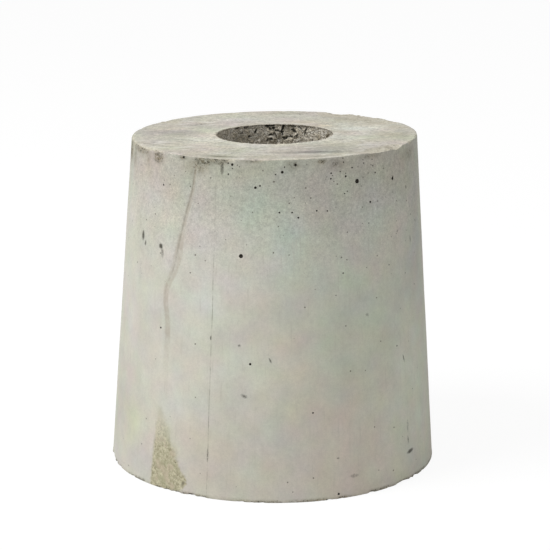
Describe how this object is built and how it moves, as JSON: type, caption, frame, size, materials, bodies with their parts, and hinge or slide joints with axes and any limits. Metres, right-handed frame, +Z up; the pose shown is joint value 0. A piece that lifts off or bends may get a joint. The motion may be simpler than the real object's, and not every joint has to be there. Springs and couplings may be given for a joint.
{
  "type": "concrete column base block",
  "caption": "Tapered round cast-concrete base block with a post socket running straight through it, for standing a column or post.",
  "frame": {"origin": "middle of the underside, on the axis of the post socket", "axes": "+Z up along the post socket, -Y towards the front, +X to the right of the front, towards which the struck top rises"},
  "size_m": [0.3997, 0.3997, 0.403],
  "materials": {
    "concrete": "matte"
  },
  "bodies": {
    "root": {"base_block": "concrete"}
  },
  "joints": []
}
